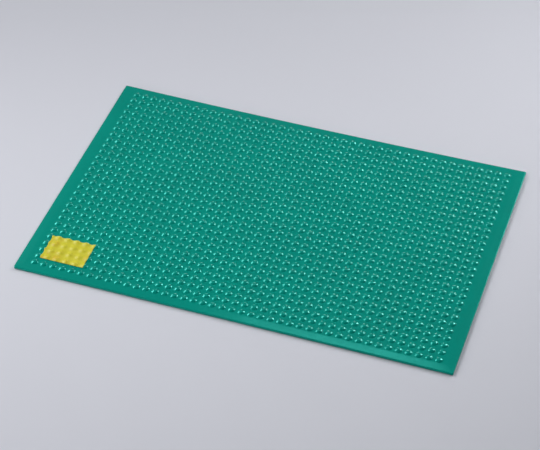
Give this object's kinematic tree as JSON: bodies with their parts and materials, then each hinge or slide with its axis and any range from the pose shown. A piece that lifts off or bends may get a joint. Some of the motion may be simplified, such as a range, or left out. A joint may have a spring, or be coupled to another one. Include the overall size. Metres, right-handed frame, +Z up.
{
  "type": "esd anti-fatigue mat",
  "caption": "Rectangular static-dissipative anti-fatigue floor mat with a bubble surface, a plain sloping rim and a bare yellow label at one corner.",
  "frame": {"origin": "on the floor under the middle of the mat", "axes": "+X along the long side, +Y along the short side away from the labelled edge, +Z up out of the domes"},
  "size_m": [0.91, 0.61, 0.0095],
  "materials": {
    "mat_elastomer": "satin green elastomer with a fine moulded grain",
    "label_vinyl": "yellow printed vinyl film, slightly worn"
  },
  "bodies": {
    "root": {"mat": "mat_elastomer", "label": "label_vinyl"}
  },
  "joints": []
}
